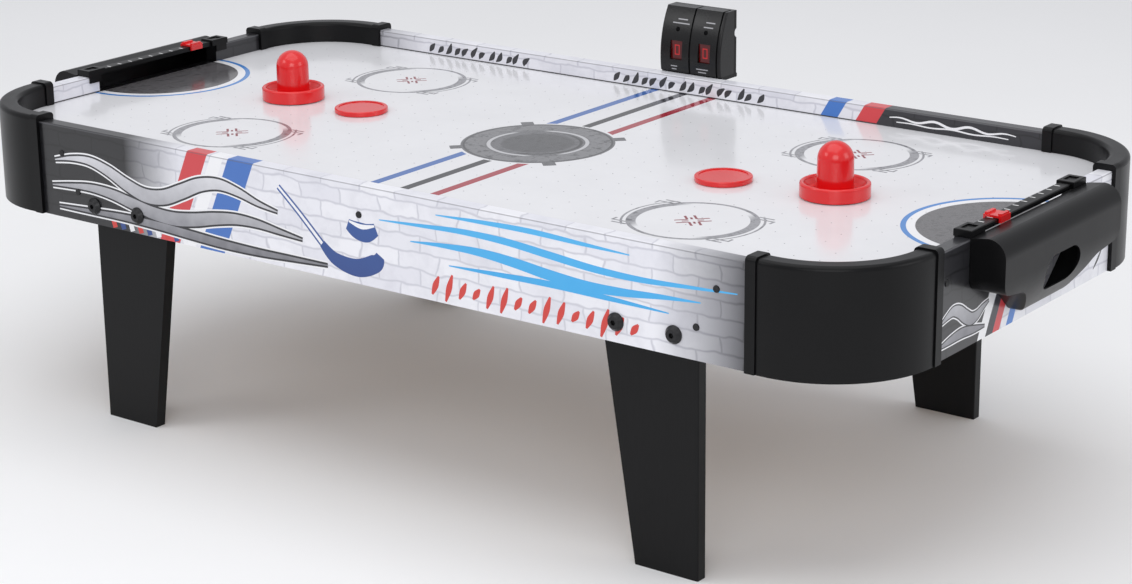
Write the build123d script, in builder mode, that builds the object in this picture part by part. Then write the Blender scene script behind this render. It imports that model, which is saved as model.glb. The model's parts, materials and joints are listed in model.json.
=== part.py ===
from build123d import *
import os
from math import cos, pi, sin

# Air hockey table. Millimetres. +X along the table, +Y towards the scorer side, +Z up.
# The origin is on the floor, under the centre of the playfield.

# Driving sizes
table_length = 1067.0  # over the outer faces of the end panels
table_width = 531.0  # over the outer faces of the side aprons
rail_top = 301.0
apron_height = 94.0
board = 15.0  # thickness of aprons and end panels
surface_z = 283.0  # playing surface
playfield_thickness = 3.0
floor_thickness = 3.0  # bottom panel of the air box
plenum_height = 35.0
touch_gap = 0.3  # between boards that meet without a joint
running_gap = 0.05  # between sliding or turning pieces

# Corner brackets
corner_radius = 101.0  # outer surface, in plan
bracket_wall = 2.3
bracket_slot_gap = 0.2  # each side of the board
bracket_cap = 4.5
rib_width = 10.0
rib_proud = 1.5

# Legs
leg_reach = 360.0  # outer vertical edge from the middle
leg_foot_width = 66.0
leg_top_width = 98.0
leg_thickness = 12.0
leg_bolt_reach = 315.4
leg_bolt_pitch = 59.6
leg_bolt_z = 225.5
bolt_radius = 3.0
bolt_hole_radius = 3.2
bolt_head_radius = 8.2
bolt_head_height = 4.5
washer_thickness = 1.5
washer_radius = 8.0
nut_height = 5.0
nut_flats = 10.0

# Small screws
screw_radius = 1.6
screw_head_radius = 3.3
small_head_radius = 2.8
screw_head_height = 1.0
screw_length = 28.0
batten_screw_z = 272.9
batten_screw_inset = 47.5  # in from the corner arc
cleat_screw_z = 236.2
cleat_screw_offset = 7.6  # outside the leg
end_screw_inset = 22.5  # in from the corner arc
batten_width = 15.0
cleat_length = 48.0
cleat_width = 25.0

# Goals
mouth_width = 176.0
goal_width = 214.4
goal_reach = 34.0  # how far the hood stands out of the end panel
goal_wall = 2.5
hood_slope = 2.5  # the top falls this much towards the panel
goal_top_z = 304.5
goal_shoulder = 17.0  # radius of the hood's outer top edge
goal_end_z = 257.0
hopper_z = 221.5
finger_hole_width = 64.0
finger_hole_height = 32.0
finger_hole_z = 255.5

# Manual score rails
score_rail_width = 12.0
score_rail_height = 4.7
clip_length = 24.0
slider_length = 17.0
slider_wall = 2.0
slider_right_y = -45.0
slider_left_y = 57.0

# Electronic scorer
scorer_width = 76.0
scorer_height = 67.0
scorer_wall = 2.2
scorer_back_thickness = 6.0
scorer_tongue_drop = 52.0
scorer_tongue_thickness = 4.0
window_width = 15.0
window_height = 20.0
window_z = 325.5
button_z = 347.4
button_radius = 2.3
button_travel = 1.2
scorer_column = 17.6  # windows and buttons, each side of the middle

# Blower
blower_radius = 52.0
blower_depth = 31.0
blower_wall = 2.0
blower_opening = 45.0
blower_flange = 62.0
impeller_radius = 44.0
impeller_height = 12.0
blade_count = 9
motor_radius = 14.0
motor_height = 15.0
shaft_radius = 1.5

# Control plate on the back apron
plate_x = -150.0
plate_width = 62.0
plate_height = 34.0
plate_z = 254.0
rocker_width = 11.0
rocker_height = 17.0
rocker_pin_radius = 1.5
rocker_swing_gap = 1.2  # above and below, for the ends to swing through
rocker_side_gap = 0.3
rocker_frame_wall = 1.5
inlet_bore = 2.75
inlet_pin = 1.05

# Play pieces
mallet_radius = 32.5
mallet_rim_height = 14.5
mallet_height = 51.5
knob_radius = 16.7
pad_thickness = 0.8
puck_radius = 27.3
puck_height = 5.2
rest_gap = 0.1  # under pads and pucks
mallet_right_x = 338.0
mallet_left_x = -325.4
mallet_left_y = 4.0
puck_right = (225.6, -12.5)
puck_left = (-228.8, 0.8)

# Worked out from the sizes above
half_length = table_length / 2
half_width = table_width / 2
apron_bottom = rail_top - apron_height
inner_x = half_length - board
inner_y = half_width - board
bracket_out = bracket_wall + bracket_slot_gap
arc_x = half_length + bracket_out - corner_radius
arc_y = half_width + bracket_out - corner_radius
bracket_start_x = arc_x - rib_width - 7.6
bracket_start_y = arc_y - rib_width
face_radius = corner_radius - bracket_out
batten_screw_reach = arc_x - batten_screw_inset
cleat_screw_reach = leg_reach + cleat_screw_offset
end_screw_reach = arc_y - end_screw_inset
playfield_bottom = surface_z - playfield_thickness
air_floor_top = playfield_bottom - plenum_height
air_floor_bottom = air_floor_top - floor_thickness
leg_top = air_floor_bottom - touch_gap
leg_inner = inner_y - leg_thickness

os.makedirs("parts", exist_ok=True)


def save(builder, label):
    builder.part.label = label
    export_step(builder.part, f"parts/{label}.step")


def save_mirrored(builder, plane, label):
    with BuildPart() as twin:
        mirror(builder.part, about=plane)
    save(twin, label)


# Side aprons: boards whose top edge is the side rail
bolt_xs = [leg_bolt_reach + side * leg_bolt_pitch / 2 for side in (-1, 1)]
bolt_places = [(side * x, leg_bolt_z) for side in (-1, 1) for x in bolt_xs]
side_screw_places = [(side * batten_screw_reach, batten_screw_z) for side in (-1, 1)]
side_screw_places += [(side * cleat_screw_reach, cleat_screw_z) for side in (-1, 1)]
side_screw_places += [(0, batten_screw_z)]
apron_half = arc_x - touch_gap

with BuildPart() as front_apron:
    with BuildSketch(Plane.XZ.offset(inner_y)):
        with Locations((0, apron_bottom + apron_height / 2)):
            Rectangle(2 * apron_half, apron_height)
    extrude(amount=board)
    rail_edges = front_apron.edges().filter_by(Axis.X).group_by(Axis.Z)[-1]
    fillet(rail_edges, 1.5)
    with BuildSketch(Plane.XZ.offset(inner_y)):
        with Locations(*bolt_places):
            Circle(bolt_hole_radius)
        with Locations(*side_screw_places):
            Circle(screw_radius)
    extrude(amount=board, mode=Mode.SUBTRACT)
save(front_apron, "front_apron")

scorer_bolt_places = [(side * 22.0, 262.0) for side in (-1, 1)]
plate_screw_places = [(plate_x + side * (plate_width / 2 - 5), plate_z) for side in (-1, 1)]
with BuildPart() as back_apron:
    mirror(front_apron.part, about=Plane.XZ)
    with BuildSketch(Plane.XZ.offset(-half_width)):
        with Locations(*scorer_bolt_places, *plate_screw_places):
            Circle(screw_radius)
        with Locations((plate_x, plate_z)):
            Rectangle(plate_width - 20, plate_height - 8)
    extrude(amount=board, mode=Mode.SUBTRACT)
save(back_apron, "back_apron")

# End panels: the goal mouth is a notch open to the top
end_half = arc_y - touch_gap
mouth_floor = surface_z - 1.0
ear_z = 272.0
ear_reach = goal_width / 2 - goal_wall - 6.0
with BuildPart() as right_end_panel:
    with BuildSketch(Plane.YZ.offset(inner_x)):
        with Locations((0, apron_bottom + apron_height / 2)):
            Rectangle(2 * end_half, apron_height)
    extrude(amount=board)
    rail_edges = right_end_panel.edges().filter_by(Axis.Y).group_by(Axis.Z)[-1]
    fillet(rail_edges, 1.5)
    with BuildSketch(Plane.YZ.offset(inner_x)):
        with Locations((0, mouth_floor + board)):
            Rectangle(mouth_width, 2 * board)
        with Locations(*[(side * end_screw_reach, batten_screw_z) for side in (-1, 1)]):
            Circle(screw_radius)
        with Locations(*[(side * ear_reach, ear_z) for side in (-1, 1)]):
            Circle(screw_radius)
    extrude(amount=board, mode=Mode.SUBTRACT)
save(right_end_panel, "right_end_panel")
save_mirrored(right_end_panel, Plane.YZ, "left_end_panel")

# Corner brackets: an inverted J that clasps the ends of two boards
slot_top = rail_top + bracket_slot_gap
slot_out = bracket_slot_gap
slot_in = -board - bracket_slot_gap
skirt_foot = surface_z + touch_gap


def bracket_profile(grow):
    """U section; u is measured outwards from the board's outer face, v is height."""
    outer = bracket_out + grow
    inner = -board - bracket_out - grow
    top = slot_top + bracket_cap + grow
    with BuildSketch() as profile:
        with BuildLine():
            Polyline(
                (outer, apron_bottom), (outer, top), (inner, top), (inner, skirt_foot),
                (slot_in, skirt_foot), (slot_in, slot_top), (slot_out, slot_top),
                (slot_out, apron_bottom), close=True,
            )
        make_face()
        fillet(profile.vertices().group_by(Axis.Y)[-1], 4.5)
    return profile.sketch


bracket_section = bracket_profile(0)
rib_section = bracket_profile(rib_proud)


bracket_plane_x = Plane(origin=(bracket_start_x, half_width, 0), x_dir=(0, 1, 0), z_dir=(1, 0, 0))
bracket_plane_y = Plane(origin=(half_length, bracket_start_y, 0), x_dir=(1, 0, 0), z_dir=(0, -1, 0))
diagonal = face_radius * cos(pi / 4)
with BuildPart() as corner_bracket_back_right:
    with BuildLine():
        Line((bracket_start_x, half_width), (arc_x, half_width))
        ThreePointArc(
            (arc_x, half_width), (arc_x + diagonal, arc_y + diagonal), (half_length, arc_y)
        )
        Line((half_length, arc_y), (half_length, bracket_start_y))
    with BuildSketch(bracket_plane_x):
        add(bracket_section)
    sweep()
    with BuildSketch(bracket_plane_x):
        add(rib_section)
    extrude(amount=rib_width)
    with BuildSketch(bracket_plane_y):
        add(rib_section)
    extrude(amount=-rib_width)
save(corner_bracket_back_right, "corner_bracket_back_right")
save_mirrored(corner_bracket_back_right, Plane.XZ, "corner_bracket_front_right")
save_mirrored(corner_bracket_back_right, Plane.YZ, "corner_bracket_back_left")
with BuildPart() as corner_bracket_front_left:
    add(corner_bracket_back_right.part.rotate(Axis.Z, 180))
save(corner_bracket_front_left, "corner_bracket_front_left")

# Playfield and the bottom of the air box: sheets with rounded corners
sheet_corner = face_radius - board - touch_gap
sheet_x = 2 * (inner_x - touch_gap)
sheet_y = 2 * (inner_y - touch_gap)
with BuildPart() as playfield:
    with BuildSketch(Plane.XY.offset(playfield_bottom)):
        RectangleRounded(sheet_x, sheet_y, sheet_corner)
    extrude(amount=playfield_thickness)
save(playfield, "playfield")

blower_screw_circle = 57.0
with BuildPart() as bottom_panel:
    with BuildSketch(Plane.XY.offset(air_floor_bottom)):
        RectangleRounded(sheet_x, sheet_y, sheet_corner)
        Circle(blower_opening, mode=Mode.SUBTRACT)
        with PolarLocations(blower_screw_circle, 4, start_angle=45):
            Circle(screw_radius, mode=Mode.SUBTRACT)
    extrude(amount=floor_thickness)
save(bottom_panel, "bottom_panel")

# Battens between the two sheets
batten_x = arc_x - 12.0
batten_y = arc_y - 8.0
long_batten_y = inner_y - touch_gap - batten_width / 2
short_batten_x = inner_x - touch_gap - batten_width / 2
with BuildPart() as plenum_battens:
    with BuildSketch(Plane.XY.offset(air_floor_top)):
        with Locations((0, long_batten_y), (0, -long_batten_y)):
            Rectangle(2 * batten_x, batten_width)
        with Locations((short_batten_x, 0), (-short_batten_x, 0)):
            Rectangle(batten_width, 2 * batten_y)
    extrude(amount=plenum_height)
    with BuildSketch(Plane.XZ.offset(-inner_y)):
        with Locations(*[(x, batten_screw_z) for x in (-batten_screw_reach, 0, batten_screw_reach)]):
            Circle(screw_radius)
    extrude(amount=2 * inner_y, mode=Mode.SUBTRACT)
    with BuildSketch(Plane.YZ.offset(-inner_x)):
        with Locations(*[(y, batten_screw_z) for y in (-end_screw_reach, end_screw_reach)]):
            Circle(screw_radius)
        with Locations(*[(y, ear_z) for y in (-ear_reach, ear_reach)]):
            Circle(screw_radius)
    extrude(amount=2 * inner_x, mode=Mode.SUBTRACT)
save(plenum_battens, "plenum_battens")

# Cleats under the air box, one beside each leg
cleat_height = leg_top - apron_bottom - 4.0
cleat_x = leg_reach + touch_gap + cleat_length / 2
with BuildPart() as leg_cleats:
    with BuildSketch(Plane.XY.offset(leg_top - cleat_height)):
        with GridLocations(2 * cleat_x, 2 * (inner_y - touch_gap - cleat_width / 2), 2, 2):
            Rectangle(cleat_length, cleat_width)
    extrude(amount=cleat_height)
    with BuildSketch(Plane.XZ.offset(-inner_y)):
        with Locations(*[(side * cleat_screw_reach, cleat_screw_z) for side in (-1, 1)]):
            Circle(screw_radius)
    extrude(amount=2 * inner_y, mode=Mode.SUBTRACT)
save(leg_cleats, "leg_cleats")

# Legs: flat boards, plumb on the outer edge and tapered on the inner one
with BuildPart() as leg_front_right:
    with BuildSketch(Plane.XZ.offset(leg_inner)):
        Polygon(
            (leg_reach, 0), (leg_reach, leg_top), (leg_reach - leg_top_width, leg_top),
            (leg_reach - leg_top_width, apron_bottom), (leg_reach - leg_foot_width, 0),
            align=None,
        )
    extrude(amount=leg_thickness - 0.05)
    fillet(leg_front_right.edges().filter_by(Axis.Z), 1.2)
    with BuildSketch(Plane.XZ.offset(leg_inner)):
        with Locations(*[(x, leg_bolt_z) for x in bolt_xs]):
            Circle(bolt_hole_radius)
    extrude(amount=leg_thickness, mode=Mode.SUBTRACT)
save(leg_front_right, "leg_front_right")
save_mirrored(leg_front_right, Plane.XZ, "leg_back_right")
save_mirrored(leg_front_right, Plane.YZ, "leg_front_left")
with BuildPart() as leg_back_left:
    add(leg_front_right.part.rotate(Axis.Z, 180))
save(leg_back_left, "leg_back_left")

# Dome-head bolts with a hexagon socket, through apron and leg
bolt_length = board + leg_thickness + washer_thickness + nut_height + 2.0
dome_radius = (bolt_head_radius**2 + bolt_head_height**2) / (2 * bolt_head_height)
with BuildPart() as leg_bolt_row:
    with BuildSketch(Plane.XZ.offset(half_width)):
        with Locations(*bolt_places):
            Circle(bolt_head_radius)
    extrude(amount=1.2)
    with BuildSketch(Plane.XZ.offset(half_width + 1.2)):
        with Locations(*bolt_places):
            Circle(bolt_head_radius)
    extrude(amount=bolt_head_height - 1.2, taper=40)
    with BuildSketch(Plane.XZ.offset(half_width + 1.5)):
        with Locations(*bolt_places):
            RegularPolygon(2.6, 6)
    extrude(amount=bolt_head_height, mode=Mode.SUBTRACT)
    with BuildSketch(Plane.XZ.offset(half_width - bolt_length)):
        with Locations(*bolt_places):
            Circle(bolt_radius)
    extrude(amount=bolt_length)
with BuildPart() as leg_bolts:
    add(leg_bolt_row.part)
    mirror(leg_bolt_row.part, about=Plane.XZ)
save(leg_bolts, "leg_bolts")

with BuildPart() as washer_row:
    with BuildSketch(Plane.XZ.offset(leg_inner)):
        with Locations(*bolt_places):
            Circle(washer_radius)
            Circle(bolt_radius + touch_gap, mode=Mode.SUBTRACT)
    extrude(amount=-washer_thickness)
with BuildPart() as leg_washers:
    add(washer_row.part)
    mirror(washer_row.part, about=Plane.XZ)
save(leg_washers, "leg_washers")

with BuildPart() as nut_row:
    with BuildSketch(Plane.XZ.offset(leg_inner - washer_thickness)):
        with Locations(*bolt_places):
            RegularPolygon(nut_flats / 2, 6, major_radius=False)
            Circle(bolt_radius, mode=Mode.SUBTRACT)
    extrude(amount=-nut_height)
with BuildPart() as leg_nuts:
    add(nut_row.part)
    mirror(nut_row.part, about=Plane.XZ)
save(leg_nuts, "leg_nuts")


def screws(plane, places, length, head=screw_head_radius):
    """Pan-head screws whose heads stand on the plane and shanks run behind it."""
    with BuildPart() as group:
        with BuildSketch(plane):
            with Locations(*places):
                Circle(head)
        extrude(amount=screw_head_height, taper=20)
        with BuildSketch(plane):
            with Locations(*places):
                Circle(screw_radius)
        extrude(amount=-length)
    return group.part


end_places = [(side * end_screw_reach, batten_screw_z) for side in (-1, 1)]
side_screws = screws(Plane.XZ.offset(half_width), side_screw_places, screw_length)
end_screws = screws(Plane.YZ.offset(half_length), end_places, screw_length)


with BuildPart() as panel_screws:
    add(side_screws)
    mirror(side_screws, about=Plane.XZ)
    add(end_screws)
    mirror(end_screws, about=Plane.YZ)
save(panel_screws, "panel_screws")

# Goal boxes: a hood over the mouth, a hopper below it and a finger hole
hood_outer = half_length + goal_reach


def goal_section(inset):
    """Section along the table: flat top, rounded shoulder, belly turned back to the panel."""
    face = half_length + touch_gap - inset * 4
    top = goal_top_z - inset
    out = hood_outer - inset
    shoulder = goal_shoulder - inset
    turn = (out, 267.0)
    with BuildSketch() as section:
        with BuildLine():
            Line((face, hopper_z + inset), (face, top - hood_slope))
            Line((face, top - hood_slope), (out - shoulder, top))
            JernArc((out - shoulder, top), (1, 0), shoulder, -90)
            Line((out, top - shoulder), turn)
            Spline(
                turn, (half_length + 21.0 - inset, 231.0), (half_length + 8.0, hopper_z + inset),
                tangents=((0, -1), (-1, -0.12)),
            )
            Line((half_length + 8.0, hopper_z + inset), (face, hopper_z + inset))
        make_face()
    return section.sketch


def goal_outline(inset):
    """Front outline: square shoulders, low ends and a deeper hopper in the middle."""
    half = goal_width / 2 - inset
    with BuildSketch() as outline:
        with BuildLine():
            Polyline(
                (-half, goal_top_z + 5), (-half, goal_end_z + inset), (-66.0, goal_end_z - 6 + inset),
                (-33.0 + inset / 2, hopper_z - 1 + inset), (33.0 - inset / 2, hopper_z - 1 + inset),
                (66.0, goal_end_z - 6 + inset), (half, goal_end_z + inset), (half, goal_top_z + 5),
                close=True,
            )
        make_face()
        levels = outline.vertices().group_by(Axis.Y)
        fillet(levels[2], 12 - inset)
        low = goal_end_z - 6 + inset
        fillet(outline.vertices().filter_by_position(Axis.Y, low - 1, low + 1), 22)
        fillet(outline.vertices().group_by(Axis.Y)[0], 16)
    return outline.sketch


goal_section_outer = goal_section(0)
goal_section_inner = goal_section(goal_wall)
goal_outline_outer = goal_outline(0)
goal_outline_inner = goal_outline(goal_wall)

with BuildPart() as goal_hollow:
    with BuildSketch(Plane.XZ.offset(-goal_width / 2 + goal_wall)):
        add(goal_section_inner)
    extrude(amount=goal_width - 2 * goal_wall)
    with BuildSketch(Plane.YZ.offset(half_length - 40)):
        add(goal_outline_inner)
    extrude(amount=100, mode=Mode.INTERSECT)

with BuildPart() as goal_box_right:
    with BuildSketch(Plane.XZ.offset(-goal_width / 2)):
        add(goal_section_outer)
    extrude(amount=goal_width)
    with BuildSketch(Plane.YZ.offset(half_length - 40)):
        add(goal_outline_outer)
    extrude(amount=100, mode=Mode.INTERSECT)
    add(goal_hollow.part, mode=Mode.SUBTRACT)
    with BuildSketch(Plane.YZ.offset(half_length + 12)):
        with Locations((0, finger_hole_z)):
            SlotOverall(finger_hole_width, finger_hole_height)
    extrude(amount=50, mode=Mode.SUBTRACT)
    with BuildSketch(Plane.YZ.offset(half_length + touch_gap)):
        with Locations(*[(side * (ear_reach + 1), ear_z) for side in (-1, 1)]):
            Rectangle(12.0, 18.0)
    extrude(amount=3.0)
    with BuildSketch(Plane.YZ.offset(half_length)):
        with Locations(*[(side * ear_reach, ear_z) for side in (-1, 1)]):
            Circle(screw_radius)
    extrude(amount=5.0, mode=Mode.SUBTRACT)
save(goal_box_right, "goal_box_right")
save_mirrored(goal_box_right, Plane.YZ, "goal_box_left")

ear_face = half_length + touch_gap + 3.0
ear_places = [(side * ear_reach, ear_z) for side in (-1, 1)]
ear_screws = screws(Plane.YZ.offset(ear_face), ear_places, 22.0, small_head_radius)
with BuildPart() as goal_box_screws:
    add(ear_screws)
    mirror(ear_screws, about=Plane.YZ)
save(goal_box_screws, "goal_box_screws")

# Manual score rails: a bar over the mouth between two clips that straddle the end panel
slider_half = score_rail_width / 2 + running_gap + 0.5 + slider_wall
rail_bar_x = half_length - slider_half
rail_bar_z = rail_top + touch_gap
clip_y = mouth_width / 2 + 5.0
clip_top = rail_bar_z + 6.5
clip_out = half_length  # flush with the panel, so it stays clear of the hood
clip_in = inner_x - touch_gap
clip_lip = 1.8  # thickness of the lip inside the panel
with BuildPart() as score_rail_right:
    with BuildSketch(Plane.XZ.offset(-clip_y)):
        with Locations((rail_bar_x, rail_bar_z + score_rail_height / 2)):
            Rectangle(score_rail_width, score_rail_height)
    extrude(amount=2 * clip_y)
    chamfer(score_rail_right.edges().filter_by(Axis.Y).group_by(Axis.Z)[-1], 0.8)
    with BuildSketch(Plane.XY.offset(rail_bar_z)):
        with GridLocations(1, 2 * clip_y, 1, 2):
            with Locations(((clip_out + clip_in - clip_lip) / 2, 0)):
                Rectangle(clip_out - clip_in + clip_lip, clip_length)
    extrude(amount=clip_top - rail_bar_z)
    fillet(score_rail_right.edges().group_by(Axis.Z)[-1], 0.9)
    with BuildSketch(Plane.XY.offset(clip_top - 1.2)):
        with Locations((rail_bar_x, clip_y), (rail_bar_x, -clip_y)):
            Rectangle(10.0, 14.0)
    extrude(amount=2.0, mode=Mode.SUBTRACT)
    with BuildSketch(Plane.XY.offset(rail_bar_z - 7.0)):
        with Locations((clip_in - clip_lip / 2, clip_y + 2), (clip_in - clip_lip / 2, -clip_y - 2)):
            Rectangle(clip_lip, clip_length - 8)
    extrude(amount=7.0)
save(score_rail_right, "score_rail_right")
save_mirrored(score_rail_right, Plane.YZ, "score_rail_left")

# Sliders: saddles over the bar, with two raised thumb ribs
slider_top = rail_bar_z + score_rail_height + running_gap + 0.15 + slider_wall
with BuildPart() as score_slider_right:
    with BuildSketch(Plane.XZ.offset(-slider_right_y - slider_length / 2)):
        with Locations((rail_bar_x, (slider_top + rail_bar_z + 0.8) / 2)):
            Rectangle(2 * slider_half, slider_top - rail_bar_z - 0.8)
        with Locations((rail_bar_x, rail_bar_z + score_rail_height / 2)):
            Rectangle(score_rail_width + 0.6, score_rail_height + 0.4, mode=Mode.SUBTRACT)
    extrude(amount=slider_length)
    with BuildSketch(Plane.XY.offset(slider_top)):
        with Locations(*[(rail_bar_x + side * (slider_half - 2.2), slider_right_y) for side in (-1, 1)]):
            Rectangle(3.2, slider_length - 3)
    extrude(amount=1.6)
save(score_slider_right, "score_slider_right")
with BuildPart() as score_slider_left:
    add(score_slider_right.part.rotate(Axis.Z, 180).translate((0, slider_left_y + slider_right_y, 0)))
save(score_slider_left, "score_slider_left")

# Electronic scorer: bulged front shell, back cover with a tongue behind the apron
scorer_base = rail_top + 1.5
scorer_top = scorer_base + scorer_height
scorer_split = half_width + 22.5
scorer_back = scorer_split + scorer_back_thickness


def scorer_section(inset):
    front_low = half_width - 3.0 + inset
    front_mid = half_width - 2.6 + inset
    front_high = half_width + 10.0 + inset
    with BuildSketch() as section:
        with BuildLine():
            ThreePointArc(
                (front_low, scorer_base + inset), (front_mid, scorer_base + 33.0),
                (front_high, scorer_top - inset),
            )
            Line((front_high, scorer_top - inset), (scorer_split, scorer_top - inset))
            Line((scorer_split, scorer_top - inset), (scorer_split, scorer_base + inset))
            Line((scorer_split, scorer_base + inset), (front_low, scorer_base + inset))
        make_face()
    return section.sketch


scorer_outer = scorer_section(0)
scorer_inner = scorer_section(scorer_wall)


groove_depth = 1.4
groove_width = 2.0
groove_xs = (-0.5, scorer_width / 2 - 4.2)
window_places = [(side * scorer_column, window_z) for side in (-1, 1)]
button_places = [(side * scorer_column, button_z) for side in (-1, 1)]
with BuildPart() as scorer_hollow:
    with BuildSketch(Plane.YZ.offset(-scorer_width / 2 + scorer_wall)):
        add(scorer_inner)
    extrude(amount=scorer_width - 2 * scorer_wall)
groove_floor = scorer_section(groove_depth)
with BuildPart() as scorer_grooves:
    for groove_x in groove_xs:
        with BuildSketch(Plane.YZ.offset(groove_x - groove_width / 2)):
            add(scorer_outer)
            add(groove_floor, mode=Mode.SUBTRACT)
        extrude(amount=groove_width)
with BuildPart() as scorer_housing:
    with BuildSketch(Plane.YZ.offset(-scorer_width / 2)):
        add(scorer_outer)
    extrude(amount=scorer_width)
    front_edges = scorer_housing.edges().filter_by(GeomType.CIRCLE)
    fillet(front_edges, 2.0)
    add(scorer_hollow.part, mode=Mode.SUBTRACT)
    add(scorer_grooves.part, mode=Mode.SUBTRACT)
    with BuildSketch(Plane.XZ.offset(-half_width - 12)):
        with Locations(*window_places):
            Rectangle(window_width, window_height)
        with Locations(*button_places):
            Circle(button_radius + running_gap + 0.1)
    extrude(amount=30, mode=Mode.SUBTRACT)
save(scorer_housing, "scorer_housing")

with BuildPart() as scorer_back_cover:
    with BuildSketch(Plane.XZ.offset(-scorer_back)):
        with Locations((0, (scorer_base + scorer_top) / 2)):
            Rectangle(scorer_width, scorer_height)
    extrude(amount=scorer_back_thickness)
    fillet(scorer_back_cover.edges().group_by(Axis.Y)[-1], 2.0)
    with BuildSketch(Plane.YZ.offset(-scorer_width / 2)):
        with Locations((scorer_back, scorer_top - 24.0)):
            Circle(5.0)
    extrude(amount=scorer_width, mode=Mode.SUBTRACT)
    with BuildSketch(Plane.XZ.offset(-half_width - touch_gap - scorer_tongue_thickness)):
        with Locations((0, scorer_base - scorer_tongue_drop / 2)):
            Rectangle(scorer_width, scorer_tongue_drop)
    extrude(amount=scorer_tongue_thickness)
    with BuildSketch(Plane.XY.offset(scorer_base - scorer_tongue_thickness)):
        with Locations((0, (half_width + touch_gap + scorer_back) / 2)):
            Rectangle(scorer_width, scorer_back - half_width - touch_gap)
    extrude(amount=scorer_tongue_thickness)
    with BuildSketch(Plane.XZ.offset(-half_width - touch_gap - scorer_tongue_thickness)):
        with Locations(*scorer_bolt_places):
            Circle(screw_radius)
        with Locations((0, batten_screw_z)):
            Circle(screw_head_radius + 1.0)
    extrude(amount=scorer_tongue_thickness, mode=Mode.SUBTRACT)
save(scorer_back_cover, "scorer_back_cover")

tongue_out = half_width + touch_gap + scorer_tongue_thickness
tongue_screws = screws(Plane.XZ.offset(tongue_out), scorer_bolt_places, 18.0)
with BuildPart() as scorer_screws:
    mirror(tongue_screws, about=Plane.XZ)
save(scorer_screws, "scorer_screws")

window_face = half_width - 1.2
with BuildPart() as scorer_windows:
    with BuildSketch(Plane.XZ.offset(-window_face - 1.2)):
        with Locations(*window_places):
            Rectangle(window_width - 0.2, window_height - 0.2)
    extrude(amount=1.2)
save(scorer_windows, "scorer_windows")

with BuildPart() as scorer_displays:
    with BuildSketch(Plane.XZ.offset(-window_face - 5.5)):
        with Locations(*window_places):
            Rectangle(window_width - 1.5, window_height - 1.5)
    extrude(amount=4.0)
save(scorer_displays, "scorer_displays")

board_y = window_face + 8.5
with BuildPart() as scorer_board:
    with BuildSketch(Plane.XZ.offset(-board_y - 1.6)):
        with Locations((0, window_z + 4)):
            Rectangle(scorer_width - 12, scorer_height - 24)
    extrude(amount=1.6)
save(scorer_board, "scorer_board")

# Push buttons, sprung outwards against the shell
button_front = half_width + 0.2
for name, side in (("scorer_button_left", -1), ("scorer_button_right", 1)):
    with BuildPart() as scorer_button:
        with BuildSketch(Plane.XZ.offset(-button_front - 4.0)):
            with Locations((side * scorer_column, button_z)):
                Circle(button_radius)
        extrude(amount=4.0)
        fillet(scorer_button.edges().group_by(Axis.Y)[0], 0.5)
        with BuildSketch(Plane.XZ.offset(-button_front - 4.8)):
            with Locations((side * scorer_column, button_z)):
                Circle(button_radius + 1.0)
        extrude(amount=0.8)
    save(scorer_button, name)

# Blower under the air box: tub, grille, motor, shaft and impeller
blower_top = air_floor_bottom - touch_gap / 3
blower_bottom = blower_top - blower_depth
with BuildPart() as blower_housing:
    with BuildSketch(Plane.XY.offset(blower_bottom)):
        Circle(blower_radius)
        Circle(blower_radius - blower_wall, mode=Mode.SUBTRACT)
    extrude(amount=blower_depth)
    with BuildSketch(Plane.XY.offset(blower_top - 2.5)):
        RectangleRounded(2 * blower_flange - 20, 2 * blower_flange - 20, 12)
        Circle(blower_radius - blower_wall, mode=Mode.SUBTRACT)
        with PolarLocations(blower_screw_circle, 4, start_angle=45):
            Circle(screw_radius, mode=Mode.SUBTRACT)
    extrude(amount=2.5)
save(blower_housing, "blower_housing")

grille_top = blower_bottom - 0.05
grille_thickness = 2.0
with BuildPart() as blower_grille:
    with BuildSketch(Plane.XY.offset(grille_top - grille_thickness)):
        Circle(blower_radius)
        for ring in range(3):
            with Locations((0, 0)):
                Circle(44 - 9 * ring, mode=Mode.SUBTRACT)
                Circle(40 - 9 * ring)
        with PolarLocations(0, 6):
            Rectangle(2 * blower_radius - 6, 3.0)
        Circle(motor_radius + 3)
    extrude(amount=grille_thickness)
save(blower_grille, "blower_grille")

with BuildPart() as blower_motor:
    with BuildSketch(Plane.XY.offset(grille_top)):
        Circle(motor_radius)
    extrude(amount=motor_height)
    fillet(blower_motor.edges().group_by(Axis.Z)[-1], 1.0)
    with BuildSketch(Plane.XY.offset(grille_top + motor_height - 10)):
        Circle(shaft_radius + running_gap)
    extrude(amount=11, mode=Mode.SUBTRACT)
save(blower_motor, "blower_motor")

impeller_z = grille_top + motor_height + 1.5
with BuildPart() as motor_shaft:
    with BuildSketch(Plane.XY.offset(grille_top + motor_height - 9.8)):
        Circle(shaft_radius)
    extrude(amount=impeller_z + impeller_height - grille_top - motor_height + 9.8)
save(motor_shaft, "motor_shaft")

blade_tip = (impeller_radius * cos(0.5), impeller_radius * sin(0.5))
with BuildSketch() as blade:
    with BuildLine():
        blade_front = ThreePointArc((9, -0.8), (0.62 * impeller_radius, 5.2), blade_tip)
        blade_back = ThreePointArc((9, 0.8), (0.60 * impeller_radius, 7.0), blade_tip)
        Line(blade_front @ 0, blade_back @ 0)
    make_face()

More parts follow.
